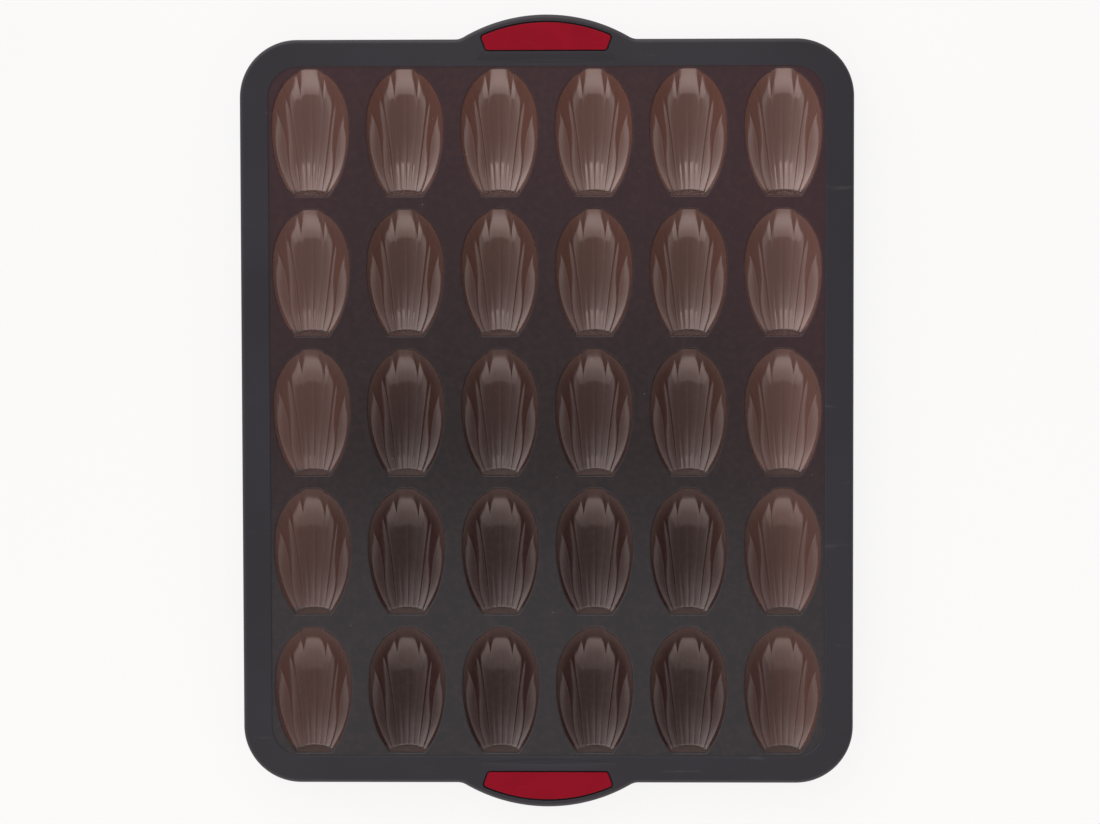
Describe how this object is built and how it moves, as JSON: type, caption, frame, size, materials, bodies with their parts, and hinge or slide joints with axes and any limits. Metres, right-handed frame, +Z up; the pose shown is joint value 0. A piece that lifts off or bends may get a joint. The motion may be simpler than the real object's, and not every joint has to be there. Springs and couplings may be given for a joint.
{
  "type": "madeleine mould",
  "caption": "Flexible baking mould for small shell-shaped cakes: a thin sheet with fluted cups in rows, a thick framed rim, a handle on each short side and red grip inserts.",
  "frame": {"origin": "under the middle of the mould, on the level that the cups stand on", "axes": "+Z up out of the cups' mouths, +Y along the length towards the wide, scalloped ends of the shells, +X across"},
  "size_m": [0.2506, 0.325, 0.0133],
  "materials": {
    "sheet_silicone": "glossy, slightly see-through",
    "rim_silicone": "satin",
    "frame_steel": "plain",
    "insert_silicone": "matt"
  },
  "bodies": {
    "root": {"mould_sheet": "sheet_silicone", "rim": "rim_silicone", "core_frame": "frame_steel", "rear_grip_insert": "insert_silicone", "front_grip_insert": "insert_silicone"}
  },
  "joints": []
}
